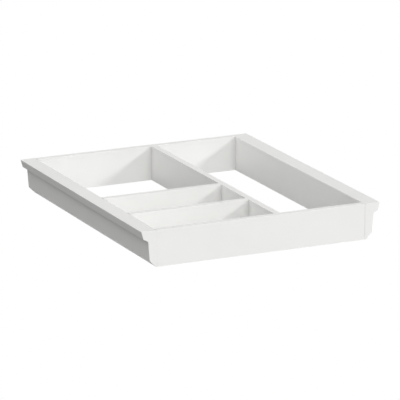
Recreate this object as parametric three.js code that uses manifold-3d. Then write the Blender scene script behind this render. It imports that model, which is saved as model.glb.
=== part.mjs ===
// Drawer organizer insert: a bottomless rectangular frame of eight-millimetre boards between two
// moulded side rails. The rails' flanges hook outward over the drawer's sides. One long divider
// and two cross dividers split the inside into four compartments. Every butt joint is held by a
// pair of glued, fluted dowels in blind holes, so nothing shows on the outside.
//
// Millimetres. +X to the right, +Y to the back, +Z up. The origin is at the middle of the
// underside, where the insert stands on the drawer's floor.

import * as THREE from 'three';
import Module from 'manifold-3d';
import { mergeVertices } from 'three/addons/utils/BufferGeometryUtils.js';

const wasm = await Module();
wasm.setup();

// ---- Driving dimensions ----

const WIDTH = 312; // over the tips of both flanges
const DEPTH = 366; // over the rails' ends
const HEIGHT = 44.4;
const BOARD = 8; // thickness of every flat board
const PANEL_RECESS = 0.25; // front and rear panels sit this far inside the rails' ends
const LONG_DIVIDER_X = 23; // its middle plane, to the right of the insert's own middle
const POCKET = 68; // clear depth of each of the two front pockets

const rail = {
  width: 19.7, // from flange tip to inner face
  edgeSlant: THREE.MathUtils.degToRad(16.3), // the flange's edge leans inward, going down
  edgeBottom: 34.6, // height of the flange's lower corner
  throat: [8.5, 31.5], // where the flange's underside meets the wall, from the tip and from below
  heel: [10.35, 8], // where the leaning wall meets the bottom chamfer
  footWidth: 1.4, // flat strip that the rail stands on
  innerTopRadius: 1.3,
  tipRadius: 0.8,
  edgeBottomRadius: 0.9,
  throatRadius: 3.5,
  heelRadius: 0.8,
  footRadius: 2.4,
  innerFootRadius: 0.3,
};

const dowel = {
  radius: 2,
  fluteDepth: 0.25,
  flutes: 8,
  chamfer: 0.5,
  inFace: 6, // how far it goes into a board's face
  inEnd: 14, // how far it goes into a board's end
  heights: { lower: 13, upper: 30 },
};
const hole = {
  clearance: 0.3, // all round the dowel and at both of its ends, filled by the glue
  segments: 16,
};

const ARC_SEGMENTS = 4;

// ---- Positions worked out from them ----

const innerX = WIDTH / 2 - rail.width; // the rails' inner faces
const panelY = DEPTH / 2 - PANEL_RECESS - BOARD / 2; // middle planes of front and rear panel
const bayEndY = panelY - BOARD / 2; // their inner faces
const frontCrossY = -bayEndY + POCKET + BOARD / 2;
const rearCrossY = frontCrossY + POCKET + BOARD;
const longLeftX = LONG_DIVIDER_X - BOARD / 2;

// ---- Materials ----

const whiteLacquer = {
  color: new THREE.Color(0.89, 0.888, 0.875),
  roughness: 0.42,
  metalness: 0,
};
const beech = {
  color: new THREE.Color(0.66, 0.46, 0.28),
  roughness: 0.7,
  metalness: 0,
};

// ---- Geometry helpers ----

// A closed three.js geometry as a manifold solid, for cutting.
function toSolid(geometry) {
  const bare = geometry.clone();
  bare.deleteAttribute('normal');
  bare.deleteAttribute('uv');
  const merged = mergeVertices(bare, 1e-5);
  return new wasm.Manifold(new wasm.Mesh({
    numProp: 3,
    vertProperties: new Float32Array(merged.attributes.position.array),
    triVerts: new Uint32Array(merged.index.array),
  }));
}

function toGeometry(solid) {
  const mesh = solid.getMesh();
  const geometry = new THREE.BufferGeometry();
  geometry.setAttribute('position', new THREE.BufferAttribute(mesh.vertProperties, 3));
  geometry.setIndex(new THREE.BufferAttribute(mesh.triVerts, 1));
  geometry.computeVertexNormals();
  return geometry;
}

// A closed outline through the given corners, each { at: [x, y], radius } rounded by an arc that
// is tangent to both of its sides, whichever way the corner turns.
function roundedOutline(corners) {
  const shape = new THREE.Shape();
  corners.forEach((corner, i) => {
    const at = new THREE.Vector2(...corner.at);
    const before = new THREE.Vector2(...corners.at(i - 1).at);
    const after = new THREE.Vector2(...corners[(i + 1) % corners.length].at);
    const arriving = at.clone().sub(before).normalize();
    const leaving = after.clone().sub(at).normalize();
    const turn = Math.atan2(arriving.cross(leaving), arriving.dot(leaving));
    const inset = corner.radius * Math.tan(Math.abs(turn) / 2);
    const start = at.clone().addScaledVector(arriving, -inset);
    const side = Math.sign(turn); // +1 turns left, -1 turns right
    const inward = new THREE.Vector2(-arriving.y, arriving.x).multiplyScalar(side * corner.radius);
    const centre = start.clone().add(inward);
    const from = Math.atan2(-inward.y, -inward.x);
    if (i === 0) shape.moveTo(start.x, start.y);
    else shape.lineTo(start.x, start.y);
    shape.absarc(centre.x, centre.y, corner.radius, from, from + turn, side < 0);
  });
  shape.closePath();
  return shape;
}

// ---- Sub-parts ----

// Side rail: the moulding's cross section run from the front to the back. side is -1 for the left
// rail and +1 for the right one, its mirror image.
function railSolid(side) {
  const slope = Math.tan(rail.edgeSlant);
  // The sharp corner lies outside the tip by what the rounding takes off there.
  const sharpTip = rail.tipRadius * (1 - (1 + Math.sin(rail.edgeSlant)) / Math.cos(rail.edgeSlant));
  const edgeBottomX = sharpTip + (HEIGHT - rail.edgeBottom) * slope;
  const corners = [
    { at: [rail.width, 0], radius: rail.innerFootRadius },
    { at: [rail.width, HEIGHT], radius: rail.innerTopRadius },
    { at: [sharpTip, HEIGHT], radius: rail.tipRadius },
    { at: [edgeBottomX, rail.edgeBottom], radius: rail.edgeBottomRadius },
    { at: rail.throat, radius: rail.throatRadius },
    { at: rail.heel, radius: rail.heelRadius },
    { at: [rail.width - rail.footWidth, 0], radius: rail.footRadius },
  ];
  const fromTip = corners.map(({ at: [x, z], radius }) => ({ at: [side * (WIDTH / 2 - x), z], radius }));
  const geometry = new THREE.ExtrudeGeometry(roundedOutline(fromTip), {
    depth: DEPTH,
    bevelEnabled: false,
    curveSegments: ARC_SEGMENTS,
  });
  // The outline's y becomes the rail's height, and the extrusion runs towards the front.
  const upright = new THREE.Matrix4().makeBasis(
    new THREE.Vector3(1, 0, 0),
    new THREE.Vector3(0, 0, 1),
    new THREE.Vector3(0, -1, 0),
  );
  geometry.applyMatrix4(upright);
  geometry.translate(0, DEPTH / 2, 0);
  return toSolid(geometry);
}

// Flat board standing on its long edge, between two corners of its plan.
function boardSolid(lowX, highX, lowY, highY) {
  const geometry = new THREE.BoxGeometry(highX - lowX, highY - lowY, HEIGHT);
  geometry.translate((lowX + highX) / 2, (lowY + highY) / 2, HEIGHT / 2);
  return toSolid(geometry);
}

function crossBoardSolid(lowX, highX, middleY) {
  return boardSolid(lowX, highX, middleY - BOARD / 2, middleY + BOARD / 2);
}

// Fluted dowel along Z, its middle at the origin.
function dowelGeometry() {
  const outline = new THREE.Shape();
  const pitch = (2 * Math.PI) / dowel.flutes;
  for (let flute = 0; flute < dowel.flutes; flute += 1) {
    const middle = flute * pitch;
    const points = [
      [dowel.radius - dowel.fluteDepth, middle],
      [dowel.radius, middle + pitch / 4],
      [dowel.radius, middle + (3 * pitch) / 4],
    ];
    points.forEach(([radius, angle], i) => {
      const x = radius * Math.cos(angle);
      const y = radius * Math.sin(angle);
      if (flute === 0 && i === 0) outline.moveTo(x, y);
      else outline.lineTo(x, y);
    });
  }
  outline.closePath();
  const length = dowel.inFace + dowel.inEnd;
  const geometry = new THREE.ExtrudeGeometry(outline, {
    depth: length - 2 * dowel.chamfer,
    bevelEnabled: true,
    bevelThickness: dowel.chamfer,
    bevelSize: dowel.chamfer,
    bevelOffset: -dowel.chamfer, // the chamfer goes inward from the full outline
    bevelSegments: 1,
  });
  geometry.translate(0, 0, dowel.chamfer - length / 2);
  return geometry;
}

function holeGeometry() {
  const radius = dowel.radius + hole.clearance;
  const length = dowel.inFace + dowel.inEnd + 2 * hole.clearance;
  const geometry = new THREE.CylinderGeometry(radius, radius, length, hole.segments);
  geometry.rotateX(Math.PI / 2);
  return geometry;
}

// ---- Joints ----

// Each butt joint: the piece whose face takes it, the piece whose end meets that face, a point of
// the contact plane, and the direction from that plane into the end.
const joints = {
  front_left: { face: 'left_side_rail', end: 'front_panel', at: [-innerX, -panelY], into: [1, 0] },
  front_right: { face: 'right_side_rail', end: 'front_panel', at: [innerX, -panelY], into: [-1, 0] },
  rear_left: { face: 'left_side_rail', end: 'rear_panel', at: [-innerX, panelY], into: [1, 0] },
  rear_right: { face: 'right_side_rail', end: 'rear_panel', at: [innerX, panelY], into: [-1, 0] },
  long_front: { face: 'front_panel', end: 'long_divider', at: [LONG_DIVIDER_X, -bayEndY], into: [0, 1] },
  long_rear: { face: 'rear_panel', end: 'long_divider', at: [LONG_DIVIDER_X, bayEndY], into: [0, -1] },
};
for (const [name, middleY] of [['front_cross', frontCrossY], ['rear_cross', rearCrossY]]) {
  const end = `${name}_divider`;
  joints[`${name}_left`] = { face: 'left_side_rail', end, at: [-innerX, middleY], into: [1, 0] };
  joints[`${name}_right`] = { face: 'long_divider', end, at: [longLeftX, middleY], into: [-1, 0] };
}

// Where a joint's dowel at the given height lies: its middle, and the turn from Z to its own axis.
function dowelPlacement(joint, height) {
  const into = new THREE.Vector3(...joint.into, 0);
  const position = new THREE.Vector3(...joint.at, height);
  position.addScaledVector(into, (dowel.inEnd - dowel.inFace) / 2);
  const quaternion = new THREE.Quaternion().setFromUnitVectors(new THREE.Vector3(0, 0, 1), into);
  return { position, quaternion };
}

// ---- Assembly ----

const insert = new THREE.Group();

function addPiece(name, geometry, look) {
  const mesh = new THREE.Mesh(geometry, new THREE.MeshStandardMaterial(look));
  mesh.name = name;
  insert.add(mesh);
  return mesh;
}

const pieces = {
  left_side_rail: railSolid(-1),
  right_side_rail: railSolid(1),
  front_panel: crossBoardSolid(-innerX, innerX, -panelY),
  rear_panel: crossBoardSolid(-innerX, innerX, panelY),
  long_divider: boardSolid(longLeftX, longLeftX + BOARD, -bayEndY, bayEndY),
  front_cross_divider: crossBoardSolid(-innerX, longLeftX, frontCrossY),
  rear_cross_divider: crossBoardSolid(-innerX, longLeftX, rearCrossY),
};

for (const [jointName, joint] of Object.entries(joints)) {
  for (const [level, height] of Object.entries(dowel.heights)) {
    const { position, quaternion } = dowelPlacement(joint, height);
    const mesh = addPiece(`${jointName}_dowel_${level}`, dowelGeometry(), beech);
    mesh.position.copy(position);
    mesh.quaternion.copy(quaternion);
    const drill = holeGeometry();
    drill.applyQuaternion(quaternion);
    drill.translate(...position.toArray());
    const drilled = toSolid(drill);
    pieces[joint.face] = pieces[joint.face].subtract(drilled);
    pieces[joint.end] = pieces[joint.end].subtract(drilled);
  }
}

for (const [name, solid] of Object.entries(pieces)) {
  addPiece(name, toGeometry(solid), whiteLacquer);
}

export default insert;
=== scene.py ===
"""Drawer organizer insert, in its finish: satin white lacquer on fine fibreboard, beech dowels inside.

Metres, in the row's own frame: +X to the right, +Y to the back, +Z up, the origin in the middle of
the underside. Every board and rail is rebuilt here round its CAD node, with its eased edges, its
saw-cut ends and the blind holes that the dowels sit in. The dowels are the CAD's own.
"""

import math

import bmesh
import bpy
from mathutils import Matrix, Vector


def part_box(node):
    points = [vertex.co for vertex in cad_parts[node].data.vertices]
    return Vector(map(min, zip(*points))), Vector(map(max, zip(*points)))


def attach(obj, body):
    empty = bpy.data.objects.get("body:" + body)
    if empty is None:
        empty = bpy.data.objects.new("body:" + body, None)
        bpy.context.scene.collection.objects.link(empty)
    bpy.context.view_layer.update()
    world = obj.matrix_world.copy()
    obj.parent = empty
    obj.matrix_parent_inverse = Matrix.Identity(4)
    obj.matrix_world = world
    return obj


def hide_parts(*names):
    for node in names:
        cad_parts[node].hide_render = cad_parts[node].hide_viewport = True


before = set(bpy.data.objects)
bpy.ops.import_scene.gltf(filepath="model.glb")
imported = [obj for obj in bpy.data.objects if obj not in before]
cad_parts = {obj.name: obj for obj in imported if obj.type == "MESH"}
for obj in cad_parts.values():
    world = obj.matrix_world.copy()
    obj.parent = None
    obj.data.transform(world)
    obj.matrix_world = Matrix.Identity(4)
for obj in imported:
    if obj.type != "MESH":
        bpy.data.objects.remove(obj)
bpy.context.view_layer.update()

MM = 0.001

# ---- The rail's cross section, the same as the CAD's: x from the flange's tip inward, z up ----

RAIL_EDGE_SLANT = math.radians(16.3)
RAIL_EDGE_BOTTOM = 34.6 * MM
RAIL_THROAT = (8.5 * MM, 31.5 * MM)
RAIL_HEEL = (10.35 * MM, 8 * MM)
RAIL_FOOT_WIDTH = 1.4 * MM
RAIL_INNER_TOP_RADIUS = 1.3 * MM
RAIL_TIP_RADIUS = 0.8 * MM
RAIL_EDGE_BOTTOM_RADIUS = 0.9 * MM
RAIL_THROAT_RADIUS = 3.5 * MM
RAIL_HEEL_RADIUS = 0.8 * MM
RAIL_FOOT_RADIUS = 2.4 * MM
RAIL_INNER_FOOT_RADIUS = 0.3 * MM
RAIL_END_EASE = 0.25 * MM  # the saw-cut ends are only sanded

# ---- The flat boards ----

BOARD_EDGE_RADIUS = 0.35 * MM
BOARD_END_EASE = 0.2 * MM  # leaves a fine groove where a board butts against its neighbour

# ---- Fineness of the meshes ----

ARC_STEP = math.radians(11)
EASE_STEPS = 3
STATION_STEP = 20 * MM  # between the cross sections along a run
HOLE_SIDES = 32
SHARP_ANGLE = math.radians(28)  # faces that meet at more than this show an edge
FLAT_FACE_WEIGHT = 80  # how far the large faces win over the small ones beside them

HOLE_CLEARANCE = 0.3 * MM  # room for the glue round a dowel and at its ends

DOWEL_NODES = sorted(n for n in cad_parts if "_dowel_" in n)
RAIL_NODES = ["left_side_rail", "right_side_rail"]
BOARD_NODES = sorted(set(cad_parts) - set(DOWEL_NODES) - set(RAIL_NODES))


# ---- Outlines ----


def rounded_outline(corners):
    """Points of a closed outline through corners (x, z, radius), each rounded by a tangent arc."""
    points = []
    for i, (x, z, radius) in enumerate(corners):
        at = Vector((x, z))
        before = Vector(corners[i - 1][:2])
        after = Vector(corners[(i + 1) % len(corners)][:2])
        arriving = (at - before).normalized()
        leaving = (after - at).normalized()
        turn = math.atan2(arriving.cross(leaving), arriving.dot(leaving))
        side = math.copysign(1, turn)
        start = at - arriving * (radius * math.tan(abs(turn) / 2))
        inward = Vector((-arriving.y, arriving.x)) * side * radius
        centre = start + inward
        steps = max(2, math.ceil(abs(turn) / ARC_STEP))
        for k in range(steps + 1):
            turned = Matrix.Rotation(turn * k / steps, 2) @ -inward
            points.append(centre + turned)
    return points


def inset_outline(points, inset):
    """The outline moved inward by inset, with the same number of points. It runs anticlockwise."""
    moved = []
    for i, at in enumerate(points):
        arriving = (at - points[i - 1]).normalized()
        leaving = (points[(i + 1) % len(points)] - at).normalized()
        middle = (arriving + leaving).normalized()
        inward = Vector((-middle.y, middle.x))
        moved.append(at + inward * (inset / middle.dot(leaving)))
    return moved


def rail_outline(height, width):
    """The moulding's cross section with its tip at x = 0, anticlockwise."""
    lean = RAIL_EDGE_SLANT
    sharp_tip = RAIL_TIP_RADIUS * (1 - (1 + math.sin(lean)) / math.cos(lean))
    edge_bottom_x = sharp_tip + (height - RAIL_EDGE_BOTTOM) * math.tan(lean)
    return rounded_outline(
        [
            (width, 0, RAIL_INNER_FOOT_RADIUS),
            (width, height, RAIL_INNER_TOP_RADIUS),
            (sharp_tip, height, RAIL_TIP_RADIUS),
            (edge_bottom_x, RAIL_EDGE_BOTTOM, RAIL_EDGE_BOTTOM_RADIUS),
            (*RAIL_THROAT, RAIL_THROAT_RADIUS),
            (*RAIL_HEEL, RAIL_HEEL_RADIUS),
            (width - RAIL_FOOT_WIDTH, 0, RAIL_FOOT_RADIUS),
        ]
    )


def board_outline(thickness, height):
    """A board's cross section, centred on x = 0."""
    half = thickness / 2
    radius = BOARD_EDGE_RADIUS
    return rounded_outline(
        [
            (half, 0, radius),
            (half, height, radius),
            (-half, height, radius),
            (-half, 0, radius),
        ]
    )


# ---- Meshes ----


def run_outline(name, outline, length, end_ease, place):
    """A closed body: the outline run from 0 to length, its ends eased. place turns (x, z, along)
    into a point of the row's frame."""
    stations = []
    for k in range(EASE_STEPS):
        angle = math.pi / 2 * k / EASE_STEPS
        stations.append((end_ease * (1 - math.sin(angle)), end_ease * (1 - math.cos(angle))))
    spans = max(1, round((length - 2 * end_ease) / STATION_STEP))
    middle = [
        (0, end_ease + (length - 2 * end_ease) * k / spans) for k in range(spans + 1)
    ]
    far = [(inset, length - along) for inset, along in reversed(stations)]
    bm = bmesh.new()
    rings = []
    for inset, along in stations + middle + far:
        points = inset_outline(outline, inset) if inset else outline
        rings.append([bm.verts.new(place(p.x, p.y, along)) for p in points])
    count = len(outline)
    for near, next_ring in zip(rings, rings[1:]):
        for i in range(count):
            j = (i + 1) % count
            bm.faces.new((near[i], near[j], next_ring[j], next_ring[i]))
    bm.faces.new(rings[0])
    bm.faces.new(rings[-1])
    bmesh.ops.recalc_face_normals(bm, faces=bm.faces)
    mesh = bpy.data.meshes.new(name)
    bm.to_mesh(mesh)
    bm.free()
    piece = bpy.data.objects.new(name, mesh)
    bpy.context.scene.collection.objects.link(piece)
    return piece


def overlap(box_a, box_b):
    return all(box_a[0][k] < box_b[1][k] and box_b[0][k] < box_a[1][k] for k in range(3))


def hole_cutter(dowel):
    """The blind hole round a dowel, with the glue's clearance, as one closed drum."""
    low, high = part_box(dowel)
    size = high - low
    axis = max(range(3), key=lambda k: size[k])
    radius = min(size) / 2 + HOLE_CLEARANCE
    length = size[axis] + 2 * HOLE_CLEARANCE
    turn = Vector((0, 0, 1)).rotation_difference(Vector([float(k == axis) for k in range(3)]))
    bm = bmesh.new()
    bmesh.ops.create_cone(
        bm,
        cap_ends=True,
        segments=HOLE_SIDES,
        radius1=radius,
        radius2=radius,
        depth=length,
        matrix=Matrix.Translation((low + high) / 2) @ turn.to_matrix().to_4x4(),
    )
    mesh = bpy.data.meshes.new("cutter")
    bm.to_mesh(mesh)
    bm.free()
    cutter = bpy.data.objects.new("cutter", mesh)
    bpy.context.scene.collection.objects.link(cutter)
    return cutter


def drill(piece, node):
    """Cuts the dowel holes that reach into the piece, and keeps the result as its mesh."""
    cutters = [hole_cutter(d) for d in DOWEL_NODES if overlap(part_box(d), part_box(node))]
    for cutter in cutters:
        cut = piece.modifiers.new("hole", "BOOLEAN")
        cut.operation = "DIFFERENCE"
        cut.solver = "EXACT"
        cut.object = cutter
    bpy.context.view_layer.update()
    evaluated = piece.evaluated_get(bpy.context.evaluated_depsgraph_get())
    drilled = bpy.data.meshes.new_from_object(evaluated)
    piece.modifiers.clear()
    plain = piece.data
    piece.data = drilled
    drilled.name = plain.name
    bpy.data.meshes.remove(plain)
    for cutter in cutters:
        bpy.data.meshes.remove(cutter.data)


def shade(piece):
    """Round edges shade smoothly, and flat faces stay flat."""
    for polygon in piece.data.polygons:
        polygon.use_smooth = True
    piece.data.set_sharp_from_angle(angle=SHARP_ANGLE)
    weighted = piece.modifiers.new("weighted", "WEIGHTED_NORMAL")
    weighted.keep_sharp = True
    weighted.weight = FLAT_FACE_WEIGHT


def finish_piece(piece, node, material):
    drill(piece, node)
    piece.data.materials.clear()
    piece.data.materials.append(material)
    shade(piece)
    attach(piece, "root")
    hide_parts(node)


def make_rail(node, side, material):
    low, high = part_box(node)
    tip_x = high.x if side > 0 else low.x

    def place(x, z, along):
        return (tip_x - side * x, low.y + along, z)

    outline = rail_outline(high.z, high.x - low.x)
    piece = run_outline(f"lacquered_{node}", outline, high.y - low.y, RAIL_END_EASE, place)
    finish_piece(piece, node, material)


def make_board(node, material):
    low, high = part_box(node)
    middle = (low + high) / 2
    size = high - low
    along_x = size.x > size.y

    def place_along_x(x, z, along):
        return (low.x + along, middle.y + x, z)

    def place_along_y(x, z, along):
        return (middle.x + x, low.y + along, z)

    outline = board_outline(min(size.x, size.y), high.z)
    place = place_along_x if along_x else place_along_y
    length = max(size.x, size.y)
    piece = run_outline(f"lacquered_{node}", outline, length, BOARD_END_EASE, place)
    finish_piece(piece, node, material)


# ---- Materials ----

PAINTED_SHADE_REACH = 9 * MM  # how far from an inside corner the painted shade begins
PAINTED_CORNER_SHADE = 0.76  # brightness the painted shade leaves where all round is hidden
PAINTED_SHADE_SAMPLES = 24
NOISE_LOW = 0.3  # nearly all of a noise's values lie between these two
NOISE_HIGH = 0.7


def new_material(name):
    material = bpy.data.materials.new(name)
    material.use_nodes = True
    tree = material.node_tree
    return material, tree, tree.nodes["Principled BSDF"]


def noise(tree, coordinates, scale, detail):
    node = tree.nodes.new("ShaderNodeTexNoise")
    node.inputs["Scale"].default_value = scale
    node.inputs["Detail"].default_value = detail
    tree.links.new(coordinates, node.inputs["Vector"])
    return node.outputs["Fac"]


def remap(tree, value, low, high):
    """A noise's value brought into the range from low to high."""
    node = tree.nodes.new("ShaderNodeMapRange")
    node.inputs["From Min"].default_value = NOISE_LOW
    node.inputs["From Max"].default_value = NOISE_HIGH
    node.inputs["To Min"].default_value = low
    node.inputs["To Max"].default_value = high
    tree.links.new(value, node.inputs["Value"])
    return node.outputs["Result"]


def ramp(tree, value, stops):
    """A noise's value as a colour between the two stops."""
    node = tree.nodes.new("ShaderNodeValToRGB")
    elements = node.color_ramp.elements
    for element, (position, colour) in zip(elements, stops):
        element.position = position
        element.color = (*colour, 1)
    tree.links.new(value, node.inputs["Fac"])
    return node.outputs["Color"]


def bump(tree, height, distance, strength, below=None):
    node = tree.nodes.new("ShaderNodeBump")
    node.inputs["Distance"].default_value = distance
    node.inputs["Strength"].default_value = strength
    tree.links.new(height, node.inputs["Height"])
    if below is not None:
        tree.links.new(below, node.inputs["Normal"])
    return node.outputs["Normal"]


def paint_corner_shade(tree, colour):
    """Painted shade: the colour is darkened in inside corners, where shade falls."""
    hidden = tree.nodes.new("ShaderNodeAmbientOcclusion")
    hidden.samples = PAINTED_SHADE_SAMPLES
    hidden.inputs["Distance"].default_value = PAINTED_SHADE_REACH
    shade_of = tree.nodes.new("ShaderNodeMapRange")
    shade_of.inputs["To Min"].default_value = PAINTED_CORNER_SHADE
    tree.links.new(hidden.outputs["AO"], shade_of.inputs["Value"])
    darker = tree.nodes.new("ShaderNodeVectorMath")
    darker.operation = "SCALE"
    tree.links.new(colour, darker.inputs[0])
    tree.links.new(shade_of.outputs["Result"], darker.inputs["Scale"])
    return darker.outputs["Vector"]


def white_lacquer():
    """Sprayed satin lacquer: a faint orange peel, and a film that differs a little in gloss."""
    material, tree, shader = new_material("white_lacquer")
    place = tree.nodes.new("ShaderNodeTexCoord").outputs["Object"]
    cloud = noise(tree, place, scale=14, detail=3)
    duller = (0.868, 0.866, 0.85)
    cleaner = (0.888, 0.887, 0.873)
    colour = ramp(tree, cloud, [(NOISE_LOW, duller), (NOISE_HIGH, cleaner)])
    # painted shade: the lacquer's colour is darkened in inside corners, where shade falls
    tree.links.new(paint_corner_shade(tree, colour), shader.inputs["Base Color"])
    gloss = noise(tree, place, scale=55, detail=4)
    tree.links.new(remap(tree, gloss, low=0.36, high=0.46), shader.inputs["Roughness"])
    ripple = noise(tree, place, scale=520, detail=2)
    peel = bump(tree, ripple, distance=0.02 * MM, strength=0.5)
    speck = noise(tree, place, scale=2600, detail=2)
    dust = bump(tree, speck, distance=0.004 * MM, strength=0.4, below=peel)
    tree.links.new(dust, shader.inputs["Normal"])
    shader.inputs["IOR"].default_value = 1.47
    return material


def beech():
    """Raw beech: fine dark flecks on a light brown."""
    material, tree, shader = new_material("beech")
    place = tree.nodes.new("ShaderNodeTexCoord").outputs["Object"]
    fleck = noise(tree, place, scale=900, detail=4)
    dark = (0.5, 0.32, 0.18)
    light = (0.72, 0.52, 0.33)
    colour = ramp(tree, fleck, [(0.35, dark), (0.65, light)])
    tree.links.new(colour, shader.inputs["Base Color"])
    tree.links.new(remap(tree, fleck, low=0.62, high=0.78), shader.inputs["Roughness"])
    grain = bump(tree, fleck, distance=0.05 * MM, strength=0.5)
    tree.links.new(grain, shader.inputs["Normal"])
    return material


# ---- Camera ----

CAMERA_AZIMUTH = math.radians(-25.12)  # to the left of the front
CAMERA_ELEVATION = math.radians(15.32)
CAMERA_DISTANCE = 4.585
CAMERA_AIM = Vector((0.0037, -0.0022, 0.0196))
CAMERA_LENS = 338.1  # mm, before a sensor 36 mm wide


def toward(azimuth, elevation):
    """Unit vector from the object towards a viewer or a light. Azimuth 0 is straight in front."""
    return Vector(
        (
            math.sin(azimuth) * math.cos(elevation),
            -math.cos(azimuth) * math.cos(elevation),
            math.sin(elevation),
        )
    )


def make_camera():
    back = toward(CAMERA_AZIMUTH, CAMERA_ELEVATION)
    data = bpy.data.cameras.new("camera")
    data.sensor_width = 36
    data.lens = CAMERA_LENS
    data.clip_start = 0.1
    data.clip_end = 200
    camera = bpy.data.objects.new("camera", data)
    bpy.context.scene.collection.objects.link(camera)
    camera.location = CAMERA_AIM + back * CAMERA_DISTANCE
    camera.rotation_mode = "QUATERNION"
    camera.rotation_quaternion = (-back).to_track_quat("-Z", "Y")
    bpy.context.scene.camera = camera


# ---- Studio ----

FLOOR_REACH = 60
FLOOR_DROP = 0.05 * MM  # keeps the floor clear of the lower edges


def make_floor():
    """An evenly white floor. It glows by itself and neither lights nor shades the insert."""
    bm = bmesh.new()
    bmesh.ops.create_grid(bm, x_segments=1, y_segments=1, size=FLOOR_REACH)
    mesh = bpy.data.meshes.new("floor")
    bm.to_mesh(mesh)
    bm.free()
    floor = bpy.data.objects.new("floor", mesh)
    bpy.context.scene.collection.objects.link(floor)
    floor.location.z = -FLOOR_DROP
    material = bpy.data.materials.new("floor_white")
    material.use_nodes = True
    tree = material.node_tree
    tree.nodes.clear()
    glow = tree.nodes.new("ShaderNodeEmission")
    glow.inputs["Color"].default_value = (1, 1, 1, 1)
    output = tree.nodes.new("ShaderNodeOutputMaterial")
    tree.links.new(glow.outputs["Emission"], output.inputs["Surface"])
    mesh.materials.append(material)
    floor.visible_diffuse = False
    floor.visible_glossy = False
    floor.visible_shadow = False


# The studio's soft lights: the direction each one comes from, and its strength.
SOFT_LIGHTS = {
    "front": ((0, -1, 0), 1.0),
    "high_front": ((0, -1, 1), 2.1),
    "high_left": ((-1, 0, 1), 1.7),
    "high_back": ((0, 1, 1), 1.6),
    "low_right": ((1, 0, -1), 2.9),
    "low_right_back": ((1, 1, -1), 1.9),
    "low_left_front": ((-1, -1, -1), 1.0),
}
SOFT_LIGHT_FOCUS = 6  # how sharply each one falls off sideways, as a power of the cosine


def math_node(tree, operation, value, operand):
    """The result of the operation on a socket's value and either another socket's or a number."""
    node = tree.nodes.new("ShaderNodeMath")
    node.operation = operation
    tree.links.new(value, node.inputs[0])
    if isinstance(operand, bpy.types.NodeSocket):
        tree.links.new(operand, node.inputs[1])
    else:
        node.inputs[1].default_value = operand
    return node.outputs[0]


def lobe(tree, direction, light):
    """One soft light's brightness in the given direction, with nothing from behind."""
    axis, strength = light
    dot = tree.nodes.new("ShaderNodeVectorMath")
    dot.operation = "DOT_PRODUCT"
    dot.inputs[1].default_value = Vector(axis).normalized()
    tree.links.new(direction, dot.inputs[0])
    facing = math_node(tree, "MAXIMUM", dot.outputs["Value"], 0)
    narrowed = math_node(tree, "POWER", facing, SOFT_LIGHT_FOCUS)
    return math_node(tree, "MULTIPLY", narrowed, strength)


def make_world():
    world = bpy.data.worlds.new("studio")
    bpy.context.scene.world = world
    world.use_nodes = True
    tree = world.node_tree
    tree.nodes.clear()
    direction = tree.nodes.new("ShaderNodeTexCoord").outputs["Generated"]
    shares = [lobe(tree, direction, light) for light in SOFT_LIGHTS.values()]
    total = shares[0]
    for share in shares[1:]:
        total = math_node(tree, "ADD", total, share)
    background = tree.nodes.new("ShaderNodeBackground")
    tree.links.new(total, background.inputs["Strength"])
    output = tree.nodes.new("ShaderNodeOutputWorld")
    tree.links.new(background.outputs["Background"], output.inputs["Surface"])


KEY_STRENGTH = 0.95
KEY_AZIMUTH = math.radians(45)
KEY_ELEVATION = math.radians(23)
KEY_SPREAD = math.radians(8)


def make_key():
    """The key light from the front right, low enough to lay a long diagonal shadow."""
    data = bpy.data.lights.new("key", "SUN")
    data.energy = KEY_STRENGTH
    data.angle = KEY_SPREAD
    key = bpy.data.objects.new("key", data)
    bpy.context.scene.collection.objects.link(key)
    key.rotation_mode = "QUATERNION"
    key.rotation_quaternion = toward(KEY_AZIMUTH, KEY_ELEVATION).to_track_quat("Z", "Y")


# ---- The scene ----

lacquer = white_lacquer()
make_rail("left_side_rail", -1, lacquer)
make_rail("right_side_rail", 1, lacquer)
for board in BOARD_NODES:
    make_board(board, lacquer)

raw_beech = beech()
for dowel_node in DOWEL_NODES:
    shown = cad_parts[dowel_node]
    shown.data.materials.clear()
    shown.data.materials.append(raw_beech)

make_camera()
make_floor()
make_world()
make_key()
bpy.context.scene.view_settings.view_transform = "Standard"
